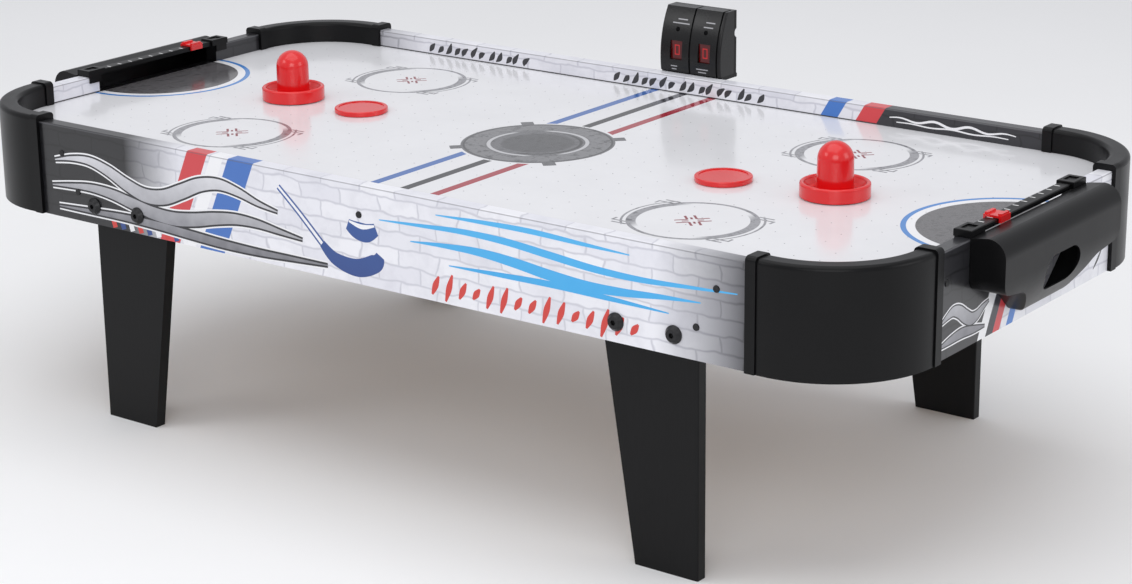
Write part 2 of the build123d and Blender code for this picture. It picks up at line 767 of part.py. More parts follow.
with BuildPart() as blower_impeller:
    with BuildSketch(Plane.XY.offset(impeller_z)):
        Circle(11.0)
    extrude(amount=impeller_height)
    fillet(blower_impeller.edges().group_by(Axis.Z)[-1], 1.5)
    with BuildSketch(Plane.XY.offset(impeller_z)):
        with PolarLocations(0, blade_count):
            add(blade.sketch)
    extrude(amount=impeller_height - 2)
    with BuildSketch(Plane.XY.offset(impeller_z)):
        Circle(shaft_radius)
    extrude(amount=impeller_height, mode=Mode.SUBTRACT)
save(blower_impeller, "blower_impeller")

flange_reach = blower_screw_circle * cos(pi / 4)
flange_places = [(x, y) for x in (-flange_reach, flange_reach) for y in (-flange_reach, flange_reach)]
flange_screws = screws(Plane.XY.offset(2.5 - blower_top), flange_places, 5.0)
with BuildPart() as blower_screws:
    mirror(flange_screws, about=Plane.XY)
save(blower_screws, "blower_screws")

# Control plate on the outside of the back apron, with a rocker switch and a power inlet
plate_face = half_width + touch_gap
plate_out = plate_face + 2.0
rocker_x = plate_x - 11.0
rocker_opening_width = rocker_width + 2 * rocker_side_gap
rocker_opening_height = rocker_height + 2 * rocker_swing_gap
rocker_frame_width = rocker_opening_width + 2 * rocker_frame_wall
rocker_frame_height = rocker_opening_height + 2 * rocker_frame_wall
inlet_x = plate_x + 11.0
with BuildPart() as control_plate:
    with BuildSketch(Plane.XZ.offset(-plate_out)):
        with Locations((plate_x, plate_z)):
            RectangleRounded(plate_width, plate_height, 4)
        with Locations((rocker_x, plate_z)):
            Rectangle(rocker_opening_width, rocker_opening_height, mode=Mode.SUBTRACT)
        with Locations((inlet_x, plate_z)):
            Circle(5.0, mode=Mode.SUBTRACT)
        with Locations(*plate_screw_places):
            Circle(screw_radius, mode=Mode.SUBTRACT)
    extrude(amount=2.0)
    with BuildSketch(Plane.XZ.offset(-plate_face)):
        with Locations((rocker_x, plate_z)):
            Rectangle(rocker_frame_width, rocker_frame_height)
            Rectangle(rocker_opening_width, rocker_opening_height, mode=Mode.SUBTRACT)
    extrude(amount=10.0)
    with BuildSketch(Plane.YZ.offset(rocker_x - rocker_width / 2 - 3)):
        with Locations((plate_face - 3.0, plate_z)):
            Circle(rocker_pin_radius + running_gap)
    extrude(amount=rocker_width + 6, mode=Mode.SUBTRACT)
save(control_plate, "control_plate")

rocker_axis_y = plate_face - 3.0
with BuildPart() as power_switch:
    with BuildSketch(Plane.YZ.offset(rocker_x - rocker_width / 2)):
        with BuildLine():
            Polyline(
                (rocker_axis_y - 3.0, plate_z - 3.5), (plate_out - 1.0, plate_z - rocker_height / 2 + 0.4),
                (plate_out + 0.6, plate_z - rocker_height / 2 + 0.4), (plate_out + 1.4, plate_z),
                (plate_out + 4.0, plate_z + rocker_height / 2 - 1.2),
                (plate_out + 1.0, plate_z + rocker_height / 2 - 0.4), (rocker_axis_y - 3.0, plate_z + 3.5),
                close=True,
            )
        make_face()
    extrude(amount=rocker_width)
    with BuildSketch(Plane.YZ.offset(rocker_x - rocker_width / 2 - 1.4)):
        with Locations((rocker_axis_y, plate_z)):
            Circle(rocker_pin_radius)
    extrude(amount=rocker_width + 2.8)
save(power_switch, "power_switch")

with BuildPart() as power_inlet:
    with BuildSketch(Plane.XZ.offset(-plate_out - 0.6)):
        with Locations((inlet_x, plate_z)):
            Circle(5.6)
            Circle(inlet_bore, mode=Mode.SUBTRACT)
    extrude(amount=0.6)
    with BuildSketch(Plane.XZ.offset(-plate_out)):
        with Locations((inlet_x, plate_z)):
            Circle(4.8)
            Circle(inlet_bore, mode=Mode.SUBTRACT)
    extrude(amount=12.0)
    with BuildSketch(Plane.XZ.offset(-plate_out + 10.0)):
        with Locations((inlet_x, plate_z)):
            Circle(4.8)
    extrude(amount=2.0)
    with BuildSketch(Plane.XZ.offset(-plate_out + 1.0)):
        with Locations((inlet_x, plate_z)):
            Circle(inlet_pin)
    extrude(amount=10.0)
save(power_inlet, "power_inlet")

plate_screw_set = screws(Plane.XZ.offset(plate_out), plate_screw_places, 14.0, small_head_radius)
with BuildPart() as plate_screws:
    mirror(plate_screw_set, about=Plane.XZ)
save(plate_screws, "plate_screws")

# Mallets: dished base with a raised rim and a domed grip, on a felt pad
pad_base = surface_z + rest_gap
mallet_base = pad_base + pad_thickness
knob_waist = knob_radius + 0.3
for name, x, y in (("right", mallet_right_x, 0.0), ("left", mallet_left_x, mallet_left_y)):
    with BuildPart() as mallet:
        with BuildSketch(Plane(origin=(x, y, 0), x_dir=(1, 0, 0), z_dir=(0, -1, 0))):
            with BuildLine():
                Polyline(
                    (0, mallet_base), (mallet_radius, mallet_base),
                    (mallet_radius, mallet_base + mallet_rim_height - 3.5),
                )
                JernArc((mallet_radius, mallet_base + mallet_rim_height - 3.5), (0, 1), 2.2, 180)
                Line(
                    (mallet_radius - 4.4, mallet_base + mallet_rim_height - 3.5),
                    (mallet_radius - 7.0, mallet_base + 6.5),
                )
                Spline(
                    (mallet_radius - 7.0, mallet_base + 6.5), (knob_waist + 2.0, mallet_base + 6.0),
                    (knob_waist, mallet_base + 10.0),
                    tangents=((-1, -0.25), (0, 1)),
                )
                Line(
                    (knob_waist, mallet_base + 10.0),
                    (knob_radius, surface_z + mallet_height - knob_radius),
                )
                ThreePointArc(
                    (knob_radius, surface_z + mallet_height - knob_radius),
                    (knob_radius * cos(pi / 4), surface_z + mallet_height - knob_radius * (1 - sin(pi / 4))),
                    (0, surface_z + mallet_height),
                )
                Line((0, surface_z + mallet_height), (0, mallet_base))
            make_face()
        revolve(axis=Axis((x, y, 0), (0, 0, 1)))
    save(mallet, f"mallet_{name}")
    with BuildPart() as mallet_pad:
        with BuildSketch(Plane.XY.offset(pad_base)):
            with Locations((x, y)):
                Circle(mallet_radius - 2.0)
        extrude(amount=pad_thickness)
    save(mallet_pad, f"mallet_pad_{name}")

# Pucks: thin discs with a raised rim on top
for name, (x, y) in (("right", puck_right), ("left", puck_left)):
    with BuildPart() as puck:
        with BuildSketch(Plane.XY.offset(surface_z + rest_gap)):
            with Locations((x, y)):
                Circle(puck_radius)
        extrude(amount=puck_height)
        fillet(puck.edges(), 1.2)
        with BuildSketch(Plane.XY.offset(surface_z + rest_gap + puck_height - 0.8)):
            with Locations((x, y)):
                Circle(puck_radius - 4.0)
        extrude(amount=1.0, mode=Mode.SUBTRACT)
    save(puck, f"puck_{name}")
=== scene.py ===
import bpy
import json
import math
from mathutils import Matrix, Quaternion, Vector


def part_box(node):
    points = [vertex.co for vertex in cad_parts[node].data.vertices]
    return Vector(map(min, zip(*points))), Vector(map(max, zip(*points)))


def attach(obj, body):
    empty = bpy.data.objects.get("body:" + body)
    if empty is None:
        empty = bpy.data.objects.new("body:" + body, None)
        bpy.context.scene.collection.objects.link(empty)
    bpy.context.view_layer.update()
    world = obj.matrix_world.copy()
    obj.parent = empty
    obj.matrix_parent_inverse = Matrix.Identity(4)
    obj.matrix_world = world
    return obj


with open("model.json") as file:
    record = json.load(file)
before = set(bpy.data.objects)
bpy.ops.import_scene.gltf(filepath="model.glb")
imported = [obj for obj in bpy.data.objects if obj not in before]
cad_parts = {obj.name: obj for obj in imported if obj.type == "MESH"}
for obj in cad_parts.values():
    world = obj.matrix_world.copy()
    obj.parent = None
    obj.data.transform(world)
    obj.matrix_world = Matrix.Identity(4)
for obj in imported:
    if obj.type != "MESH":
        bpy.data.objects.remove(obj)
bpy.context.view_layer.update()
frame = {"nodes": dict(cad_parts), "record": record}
nodes = frame["nodes"]
print("frame loaded:", len(nodes), "nodes")

mm = 0.001


def edges(node):
    # lowest and highest corner of a CAD node, in millimetres
    low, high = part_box(node)
    return low / mm, high / mm


# faces and heights that prints and paint are laid out from, in millimetres
playTop = edges("playfield")[1].z
boardFoot = edges("front_apron")[0].z
boardTop = edges("front_apron")[1].z
boardMiddle = (boardFoot + boardTop) / 2
frontFace = edges("front_apron")[0].y
backInnerFace = edges("back_apron")[0].y
endFace = edges("right_end_panel")[1].x
endInnerFace = edges("right_end_panel")[0].x


class Value:
    # a number or colour travelling through a node tree, so node maths reads as plain sums
    def __init__(self, net, socket):
        self.net = net
        self.socket = socket

    def maths(self, operation, other=None, clamp=False, swap=False):
        pair = [self] if other is None else [self, other]
        if swap:
            pair.reverse()
        settings = {"operation": operation, "use_clamp": clamp}
        return self.net.add("ShaderNodeMath", settings, dict(enumerate(pair)))

    def __add__(self, other):
        return self.maths("ADD", other)

    def __radd__(self, other):
        return self.maths("ADD", other)

    def __sub__(self, other):
        return self.maths("SUBTRACT", other)

    def __rsub__(self, other):
        return self.maths("SUBTRACT", other, swap=True)

    def __mul__(self, other):
        return self.maths("MULTIPLY", other)

    def __rmul__(self, other):
        return self.maths("MULTIPLY", other)

    def __truediv__(self, other):
        return self.maths("DIVIDE", other)

    def __abs__(self):
        return self.maths("ABSOLUTE")

    def larger(self, other):
        return self.maths("MAXIMUM", other)

    def smaller(self, other):
        return self.maths("MINIMUM", other)

    def below(self, edge, soft=0.25):
        # 1 under the edge, 0 over it, with a soft step between
        return ((edge - self) * (0.5 / soft)).maths("ADD", 0.5, clamp=True)

    def above(self, edge, soft=0.25):
        return ((self - edge) * (0.5 / soft)).maths("ADD", 0.5, clamp=True)

    def near(self, middle, half, soft=0.25):
        return abs(self - middle).below(half, soft)


class Net:
    # a node tree, with one method that adds any node to it
    def __init__(self, tree):
        self.tree = tree

    def add(self, kind, settings=None, sockets=None, out=0):
        node = self.tree.nodes.new(kind)
        for key, value in (settings or {}).items():
            setattr(node, key, value)
        for key, value in (sockets or {}).items():
            if isinstance(value, Value):
                self.tree.links.new(value.socket, node.inputs[key])
            else:
                node.inputs[key].default_value = value
        return Value(self, node.outputs[out]) if len(node.outputs) else None


class Finish(Net):
    # a material; x, y and z are places on the object in millimetres
    def __init__(self, name):
        self.material = bpy.data.materials.new(name)
        self.material.use_nodes = True
        super().__init__(self.material.node_tree)
        self.tree.nodes.clear()
        self.place = self.add("ShaderNodeTexCoord", out="Object")
        self.x, self.y, self.z = [self.axis(k) * (1 / mm) for k in range(3)]

    def axis(self, k):
        return self.add("ShaderNodeSeparateXYZ", None, {0: self.place}, out=k)

    def vector(self, u, v, w=0.0):
        return self.add("ShaderNodeCombineXYZ", None, {0: u, 1: v, 2: w})

    def mix(self, mask, under, over):
        # colours are given as three numbers or as a value
        pair = [c if isinstance(c, Value) else (*c, 1) for c in (under, over)]
        return self.add("ShaderNodeMix", {"data_type": "RGBA"}, {0: mask, 6: pair[0], 7: pair[1]}, out=2)

    def noise(self, scale, detail=3.0, rough=0.5, vector=None):
        return self.add("ShaderNodeTexNoise", None, {
            "Vector": vector or self.place, "Scale": scale, "Detail": detail, "Roughness": rough})

    def streaks(self, across, along):
        # grain that runs up a piece
        return self.noise(1.0, 3, vector=self.vector(self.x * across, self.y * across, self.z * along))

    def length(self, u, v):
        return (u * u + v * v).maths("SQRT")

    def bump(self, height, strength, distance):
        sockets = {"Height": height, "Strength": strength, "Distance": distance}
        return self.add("ShaderNodeBump", None, sockets)

    def close(self, colour, roughness, normal=None, **fixed):
        sockets = {"Base Color": colour, "Roughness": roughness}
        if normal:
            sockets["Normal"] = normal
        sockets.update({key.replace("_", " "): value for key, value in fixed.items()})
        shader = self.add("ShaderNodeBsdfPrincipled", None, sockets)
        self.add("ShaderNodeOutputMaterial", None, {0: shader})
        return self.material


# black mouldings: fine leather-like grain
plastic = {
    "dark": (0.0015, 0.0015, 0.0018), "pale": (0.004, 0.004, 0.0045),
    "cloud": 28, "grain": 850, "depth": 0.22, "rough": 0.32, "shine": 0.2,
    "scorerRough": 0.27, "scorerShine": 0.38, "buttonRough": 0.55, "buttonShine": 0.08,
}


def blackPlastic(name="blackPlastic", marks=None, rough=plastic["rough"], shine=plastic["shine"]):
    net = Finish(name)
    cloud = net.noise(plastic["cloud"], 4)
    grain = net.noise(plastic["grain"], 2)
    colour = net.mix(cloud, plastic["dark"], plastic["pale"])
    if marks:
        colour = marks(net, colour)
    relief = net.bump(grain, plastic["depth"], 0.0003)
    return net.close(colour, cloud * 0.14 + (rough - 0.07), relief, Specular_IOR_Level=shine)


# white marks along the counter bars
counter = {
    "pitch": 15.4, "reach": 72.0, "inset": 10.5, "half": 2.8, "line": 0.75, "down": 2.4,
    "tint": (0.85, 0.85, 0.85),
}


def counterMarks(net, colour):
    along = abs((net.y / counter["pitch"]).maths("FRACT") - 0.5) * counter["pitch"]
    mask = along.below(counter["line"]) * abs(net.y).below(counter["reach"])
    mask = mask * abs(net.x).near(endFace - counter["inset"], counter["half"])
    mask = mask * net.z.above(edges("score_rail_left")[1].z - counter["down"])
    return net.mix(mask, colour, counter["tint"])


# plain bars stand where the scorer has small print: (across, down from the top, half length)
scorerPrint = {
    "bars": [(-13.5, 12.0, 6.0), (-14.7, 16.0, 10.5), (21.3, 12.1, 5.6), (19.6, 16.9, 5.8),
             (-20.0, 61.1, 4.0), (-20.0, 64.3, 3.0), (15.5, 60.9, 7.4), (15.5, 64.1, 5.0)],
    "half": 0.5, "fromBack": 10.0, "tint": (0.42, 0.42, 0.44),
}


def scorerMarks(net, colour):
    high = edges("scorer_housing")[1]
    total = None
    for x, down, half in scorerPrint["bars"]:
        bar = net.x.near(x, half) * net.z.near(high.z - down, scorerPrint["half"])
        total = total.larger(bar) if total else bar
    return net.mix(total * net.y.below(high.y - scorerPrint["fromBack"]), colour, scorerPrint["tint"])


# gloss red of mallets, pucks and counters
redGloss = {
    "deep": (0.66, 0.004, 0.006), "bright": (0.80, 0.008, 0.010), "cloud": 35, "fine": 420, "coat": 0.35,
}


def redPlastic():
    net = Finish("redPlastic")
    cloud = net.noise(redGloss["cloud"], 3)
    colour = net.mix(cloud, redGloss["deep"], redGloss["bright"])
    fine = net.noise(redGloss["fine"], 2)
    return net.close(colour, cloud * 0.08 + 0.20, net.bump(fine, 0.05, 0.0002), Coat_Weight=redGloss["coat"])


# legs: black film with a faint pressed grain along the board
legFilm = {
    "dark": (0.002, 0.002, 0.0022), "pale": (0.006, 0.006, 0.0066), "across": 0.9, "along": 0.05, "shine": 0.2,
}


def blackBoard():
    net = Finish("blackBoard")
    streak = net.streaks(legFilm["across"], legFilm["along"])
    colour = net.mix(streak, legFilm["dark"], legFilm["pale"])
    relief = net.bump(streak, 0.18, 0.0002)
    return net.close(colour, streak * 0.18 + 0.32, relief, Specular_IOR_Level=legFilm["shine"])


# bare board of the cleats, battens and plenum floor
rawBoard = {"dark": (0.26, 0.17, 0.10), "pale": (0.44, 0.31, 0.19), "fibre": 420}


def bareBoard():
    net = Finish("bareBoard")
    fibre = net.noise(rawBoard["fibre"], 5, 0.7)
    colour = net.mix(fibre, rawBoard["dark"], rawBoard["pale"])
    return net.close(colour, fibre * 0.15 + 0.75, net.bump(fibre, 0.35, 0.0004))


# metals: (dark, pale, roughness, metallic)
metals = {
    "blackSteel": ((0.012, 0.012, 0.013), (0.035, 0.035, 0.037), 0.26, 0.6),
    "zincSteel": ((0.50, 0.50, 0.48), (0.72, 0.72, 0.69), 0.25, 1.0),
    "motorCan": ((0.42, 0.42, 0.43), (0.62, 0.62, 0.63), 0.30, 1.0),
}


def metal(name):
    dark, pale, rough, metallic = metals[name]
    net = Finish(name)
    streak = net.streaks(2.0, 0.2)
    relief = net.bump(streak, 0.12, 0.0001)
    return net.close(net.mix(streak, dark, pale), streak * 0.15 + rough, relief, Metallic=metallic)


# mallet pads
padFelt = {"dark": (0.03, 0.03, 0.03), "pale": (0.09, 0.09, 0.09), "fuzz": 1500}


def felt():
    net = Finish("felt")
    fuzz = net.noise(padFelt["fuzz"], 4, 0.8)
    colour = net.mix(fuzz, padFelt["dark"], padFelt["pale"])
    return net.close(colour, fuzz * 0.1 + 0.88, net.bump(fuzz, 0.7, 0.0004))


# board inside the scorer
circuit = {"mask": (0.01, 0.10, 0.03), "track": (0.03, 0.22, 0.08), "pitch": 3.0, "half": 0.12}


def circuitBoard():
    net = Finish("circuitBoard")
    track = abs((net.x / circuit["pitch"]).maths("FRACT") - 0.5).below(circuit["half"], 0.03)
    track = track * net.noise(90, 1).above(0.5, 0.02)
    return net.close(net.mix(track, circuit["mask"], circuit["track"]), track * 0.1 + 0.35)


# two dark red windows, each showing a nought
digit = {
    "column": 17.6, "halfWide": 3.0, "halfHigh": 5.4, "hollowWide": 0.68, "hollowHigh": 0.80,
    "dark": (0.035, 0.001, 0.002), "pale": (0.08, 0.002, 0.003),
    "idle": (0.030, 0.0, 0.0), "lit": (0.50, 0.008, 0.010), "glow": 0.9,
}


def redWindow():
    net = Finish("redWindow")
    low, high = edges("scorer_windows")
    across = abs(abs(net.x) - digit["column"]) / digit["halfWide"]
    up = abs(net.z - (low.z + high.z) / 2) / digit["halfHigh"]
    hollow = across.below(digit["hollowWide"], 0.05) * up.below(digit["hollowHigh"], 0.04)
    lit = across.larger(up).below(1.0, 0.05) * (1 - hollow)
    cloud = net.noise(60, 2)
    colour = net.mix(cloud, digit["dark"], digit["pale"])
    glow = net.mix(lit, digit["idle"], digit["lit"])
    return net.close(colour, cloud * 0.06 + 0.12, Emission_Color=glow, Emission_Strength=digit["glow"])


# playfield: gloss white print, places and sizes in millimetres
tints = {
    "blue": (0.035, 0.13, 0.42), "red": (0.36, 0.012, 0.03),
    "ink": (0.02, 0.02, 0.025), "white": (0.88, 0.88, 0.90),
}
field = {
    "low": (0.74, 0.74, 0.76), "high": (0.83, 0.83, 0.85),
    "lineGap": 36.0, "lineHalf": 5.0,
    "disc": 75.6, "discGap": 3.0, "discDark": (0.03, 0.03, 0.034), "discPale": (0.12, 0.12, 0.13),
    "tabHalf": 9.0, "tabReach": 8.0, "rimTint": (0.03, 0.03, 0.035),
    "worn": 62.0, "wornHalf": 11.0, "wornTint": (0.24, 0.24, 0.25),
    "inner": 48.3, "innerHalf": 1.9, "innerGap": 22, "innerTint": (0.52, 0.52, 0.54),
    "innerShade": 6, "shadeHalf": 1.5, "shadeTint": (0.012, 0.012, 0.014),
    "core": 36.0, "coreTint": (0.018, 0.018, 0.02),
    "spotX": 277.6, "spotY": 138.7, "spot": 57.3, "ringHalf": 1.9,
    "spotDark": (0.10, 0.10, 0.115), "spotPale": (0.30, 0.30, 0.32),
    "crossTint": (0.24, 0.015, 0.03),
    "creaseX": 517.0, "crease": 96.5, "creaseBlue": (0.04, 0.22, 0.60), "blueWide": 5, "whiteWide": 8,
    # crease middle: grey print, its dark end a painted reflection of the black goal
    "creaseDark": (0.03, 0.029, 0.03), "creasePale": (0.115, 0.11, 0.115),
    "coat": 0.12, "shine": 0.4,
}


def middlePrint(net, colour, mottle):
    # three lines across, then the centre disc with four tabs
    r = net.length(net.x, net.y)
    disc = field["disc"]
    outside = r.above(disc + field["discGap"])
    for offset, tint in ((-field["lineGap"], "blue"), (0.0, "ink"), (field["lineGap"], "red")):
        colour = net.mix(net.x.near(offset, field["lineHalf"]) * outside, colour, tints[tint])
    dark = net.mix(mottle.near(0.5, 0.10, 0.08), field["discDark"], field["discPale"])
    tabs = abs(abs(net.x) - abs(net.y)).below(field["tabHalf"])
    tabs = tabs * r.near(disc + field["discGap"], field["tabReach"])
    colour = net.mix(tabs, colour, dark)
    colour = net.mix(r.below(disc), colour, dark)
    worn = r.near(field["worn"], field["wornHalf"], 2.0) * mottle.above(0.46, 0.06) * 0.55
    colour = net.mix(worn, colour, field["wornTint"])
    colour = net.mix(r.near(disc - 3, 1.0, 0.4), colour, field["rimTint"])
    bright = r.near(field["inner"], field["innerHalf"]) * abs(net.y + net.x).above(field["innerGap"], 6)
    colour = net.mix(bright, colour, field["innerTint"])
    shaded = r.near(field["inner"] - field["innerShade"], field["shadeHalf"]) * net.x.above(8, 3)
    colour = net.mix(shaded, colour, field["shadeTint"])
    return net.mix(r.below(field["core"], 1.5) * 0.6, colour, field["coreTint"])


def spotPrint(net, colour, mottle):
    # four spots, folded on both axes
    spot = field["spot"]
    u = abs(abs(net.x) - field["spotX"])
    v = abs(abs(net.y) - field["spotY"])
    s = net.length(u, v)
    ring = s.near(spot, field["ringHalf"])
    crescent = s.near(spot - 2.8, 4.2) * u.above(spot * 0.62, 6)
    outer = s.near(spot + 6, 1.1) * u.above(spot * 0.80, 2)
    # angular hooks just outside the ring, near its ends
    hooks = v.near(36.0, 1.3) * u.near(54.0, 8.0)
    hooks = hooks.larger(v.near(42.0, 1.3) * u.near(50.0, 8.0))
    hooks = hooks.larger(u.near(61.0, 1.2) * v.near(33.0, 4.0))
    grey = net.mix(mottle.near(0.5, 0.10, 0.08), field["spotDark"], field["spotPale"])
    colour = net.mix(ring.larger(crescent).larger(outer).larger(hooks), colour, grey)
    # four chevrons round an open centre
    arm = u.larger(v) - u.smaller(v)
    cross = arm.near(6.0, 1.7) * s.near(11.0, 5.5)
    cross = cross.larger(arm.below(1.6) * s.near(7.0, 3.0))
    return net.mix(cross, colour, field["crossTint"])


def creasePrint(net, colour, mottle):
    # a half round at each goal: blue line, white line, dark middle; the middle is grey print darkened further
    # as a painted reflection of the black goal
    c = net.length(abs(net.x) - field["creaseX"], net.y)
    white = field["crease"] - field["blueWide"]
    colour = net.mix(c.below(field["crease"]), colour, field["creaseBlue"])
    colour = net.mix(c.below(white), colour, tints["white"])
    # grey print mottle darkened towards black as a painted reflection of the black goal
    deep = net.mix(mottle.near(0.5, 0.12, 0.10), field["creaseDark"], field["creasePale"])
    return net.mix(c.below(white - field["whiteWide"]), colour, deep)


def playfieldPrint():
    net = Finish("playfieldPrint")
    cloud = net.noise(14, 5, 0.6)
    mottle = net.noise(85, 5, 0.7)
    colour = net.mix(cloud, field["low"], field["high"])
    for layer in (middlePrint, spotPrint, creasePrint):
        colour = layer(net, colour, mottle)
    relief = net.bump(net.noise(9, 2), 0.03, 0.001)
    return net.close(colour, cloud * 0.06 + 0.13, relief,
                     Coat_Weight=field["coat"], Specular_IOR_Level=field["shine"])


# printed boards: a brick wall, shaded towards the ends
wall = {
    "wide": 46.0, "high": 15.5, "joint": 1.7, "shakeAlong": 16, "shakeUp": 9,
    "brick": (0.86, 0.86, 0.90), "brickDull": (0.76, 0.76, 0.82), "mortar": (0.60, 0.60, 0.66),
    "stain": (0.58, 0.58, 0.64), "coat": 0.2,
    # painted shade in the corner where the playfield meets the inner faces
    "cornerShade": 0.4, "cornerShadeHalf": 0.7, "cornerShadeTint": (0.03, 0.03, 0.035),
    "lip": 1.0, "lipHalf": 0.5, "lipTint": (0.12, 0.12, 0.13),
    "mouthDown": 2.0, "mouthTint": (0.006, 0.006, 0.007),
}
# shade: (dark at, pale from, tone); stripes: (middle, half, lean, colour)
prints = {
    "front_apron": {
        "name": "frontPrint", "along": "x",
        "shade": [(-300, -225, (0.014, 0.014, 0.016)), (418, 325, (0.075, 0.075, 0.085))],
        "stripes": [(-222, 13, 0.45, (0.62, 0.05, 0.06)), (-196, 8, 0.45, tints["white"]),
                    (-166, 16, 0.45, (0.05, 0.16, 0.50))],
    },
    "back_apron": {
        "name": "backPrint", "along": "x",
        "shade": [(-420, -350, (0.40, 0.40, 0.43)), (232, 226, (0.025, 0.025, 0.03))],
        "stripes": [(160, 10, 0.6, (0.05, 0.18, 0.55)), (203, 12, 0.6, (0.66, 0.05, 0.06))],
    },
    "right_end_panel": {
        "name": "rightPrint", "along": "y", "mouth": 89.0,
        "shade": [(-66, -58, (0.022, 0.022, 0.025))],
        "stripes": [(-58, 7, 0.5, tints["white"]), (-44, 6, 0.5, (0.03, 0.03, 0.04)),
                    (-32, 6, 0.5, (0.64, 0.05, 0.06)), (-8, 6, 0.5, (0.06, 0.20, 0.58))],
    },
    "left_end_panel": {
        "name": "leftPrint", "along": "y", "mouth": 89.0,
        "shade": [(70, 60, (0.022, 0.022, 0.025))],
        "stripes": [(-90, 3, 0.4, (0.06, 0.24, 0.62)), (40, 7, 0.5, (0.64, 0.05, 0.06))],
    },
}


def brickTexture(net, course, out):
    return net.add("ShaderNodeTexBrick", None, {
        "Vector": course, "Color1": (*wall["brick"], 1), "Color2": (*wall["brickDull"], 1),
        "Mortar": (*wall["mortar"], 1), "Scale": 1.0, "Mortar Size": wall["joint"], "Mortar Smooth": 1.0,
        "Brick Width": wall["wide"], "Row Height": wall["high"]}, out=out)


def printedBoard(look):
    net = Finish(look["name"])
    u = getattr(net, look["along"])
    shake = net.noise(38, 2) - 0.5
    course = net.vector(u + shake * wall["shakeAlong"], net.z + shake * wall["shakeUp"])
    joints = brickTexture(net, course, "Fac")
    dirt = net.noise(30, 5, 0.65)
    colour = net.mix(dirt.above(0.56, 0.1) * 0.35, brickTexture(net, course, "Color"), wall["stain"])
    for darkAt, paleFrom, tone in look["shade"]:
        slide = ((u - paleFrom) / (darkAt - paleFrom)).maths("MULTIPLY", 1.0, clamp=True)
        shaded = net.mix(joints, tone, tuple(0.45 * t for t in tone))
        colour = net.mix(slide, colour, shaded)
    for middle, half, lean, tint in look["stripes"]:
        colour = net.mix((u - (net.z - boardMiddle) * lean).near(middle, half), colour, tint)
    # a dark line of painted shade where the playfield meets the inner faces, and a grey one under the top edge
    inside = abs(net.y).below(backInnerFace + 0.5) * abs(net.x).below(endInnerFace + 0.5)
    # painted shade along the corner between playfield and inner faces
    cornerShade = net.z.near(playTop + wall["cornerShade"], wall["cornerShadeHalf"], 0.2)
    colour = net.mix(cornerShade * inside, colour, wall["cornerShadeTint"])
    colour = net.mix(net.z.near(boardTop - wall["lip"], wall["lipHalf"], 0.3) * 0.6, colour, wall["lipTint"])
    if "mouth" in look:  # the cut edges of the goal mouth are darkened to near black
        cut = abs(u).below(look["mouth"], 0.3) * net.z.above(playTop - wall["mouthDown"], 0.3)
        colour = net.mix(cut, colour, wall["mouthTint"])
    return net.close(colour, dirt * 0.12 + 0.24, net.bump(dirt, 0.04, 0.0003), Coat_Weight=wall["coat"])


# finishes by the record's slots, then the nodes that have their own
finishes = {
    "black_plastic": blackPlastic(), "red_plastic": redPlastic(), "black_board": blackBoard(),
    "bare_board": bareBoard(), "white_sheet": playfieldPrint(), "felt": felt(), "red_window": redWindow(),
    "circuit_board": circuitBoard(), "black_steel": metal("blackSteel"), "zinc_steel": metal("zincSteel"),
    "motor_can": metal("motorCan"),
}
own = {node: printedBoard(look) for node, look in prints.items()}
print("printed boards made")
own["scorer_housing"] = blackPlastic(
    "scorerShell", scorerMarks, plastic["scorerRough"], plastic["scorerShine"])
counterBar = blackPlastic("counterBar", counterMarks)
buttonBlack = blackPlastic("buttonBlack", None, plastic["buttonRough"], plastic["buttonShine"])
for side in ("left", "right"):
    own["score_rail_" + side] = counterBar
    own["scorer_button_" + side] = buttonBlack
for part in frame["record"]["subparts"]:
    mesh = nodes[part["node"]].data
    mesh.materials.clear()
    mesh.materials.append(own.get(part["node"]) or finishes[part["material_slot"]])
print("finishes on every CAD piece")

# paint colours, each from its low tone near the floor edge of a board to its high tone
paintTones = {
    "halo": ((0.84, 0.84, 0.86), (0.90, 0.90, 0.92)), "ink": ((0.012, 0.012, 0.016), (0.03, 0.03, 0.035)),
    "silver": ((0.16, 0.16, 0.18), (0.80, 0.80, 0.84)), "navy": ((0.02, 0.06, 0.24), (0.03, 0.10, 0.34)),
    "sky": ((0.03, 0.36, 0.76), (0.08, 0.46, 0.84)), "red": ((0.60, 0.04, 0.03), (0.72, 0.06, 0.05)),
}
# a painted film: how thick, how far each run of a stroke stands over the last, and the rise along one run
film = {"thick": 0.03, "runStep": 0.004, "alongRise": 0.003, "fadeFrom": 3.0, "fadeOver": 85.0, "rough": 0.3}


def plainPaint(name):
    low, high = paintTones[name]
    net = Finish("paint" + name.capitalize())
    height = (net.z - (boardFoot + film["fadeFrom"])) / film["fadeOver"]
    tone = height.maths("ADD", net.noise(60, 4) * 0.35 - 0.17, clamp=True)
    return net.close(net.mix(tone, low, high), tone * 0.08 + film["rough"], Coat_Weight=0.2)


paints = {name: plainPaint(name) for name in paintTones}

# where a stroke lies: a function from (along, up, lift) to a point, and the way it faces
faces = {
    "front": (lambda u, v, h: (u, frontFace - h, v), (0, -1, 0)),
    "backInside": (lambda u, v, h: (u, backInnerFace - h, v), (0, -1, 0)),
    "right": (lambda u, v, h: (endFace + h, u, v), (1, 0, 0)),
}


def smoothRun(points, steps=8):
    # a smooth line through the points, each of them (along, up, width)
    run = []
    for i in range(len(points) - 1):
        a, b = points[max(i - 1, 0)], points[i]
        c, d = points[i + 1], points[min(i + 2, len(points) - 1)]
        for k in range(steps):
            t = k / steps
            run.append(tuple(
                0.5 * (2 * b[j] + (c[j] - a[j]) * t + (2 * a[j] - 5 * b[j] + 4 * c[j] - d[j]) * t * t
                       + (3 * b[j] - a[j] - 3 * c[j] + d[j]) * t ** 3)
                for j in range(3)))
    run.append(tuple(points[-1]))
    return run


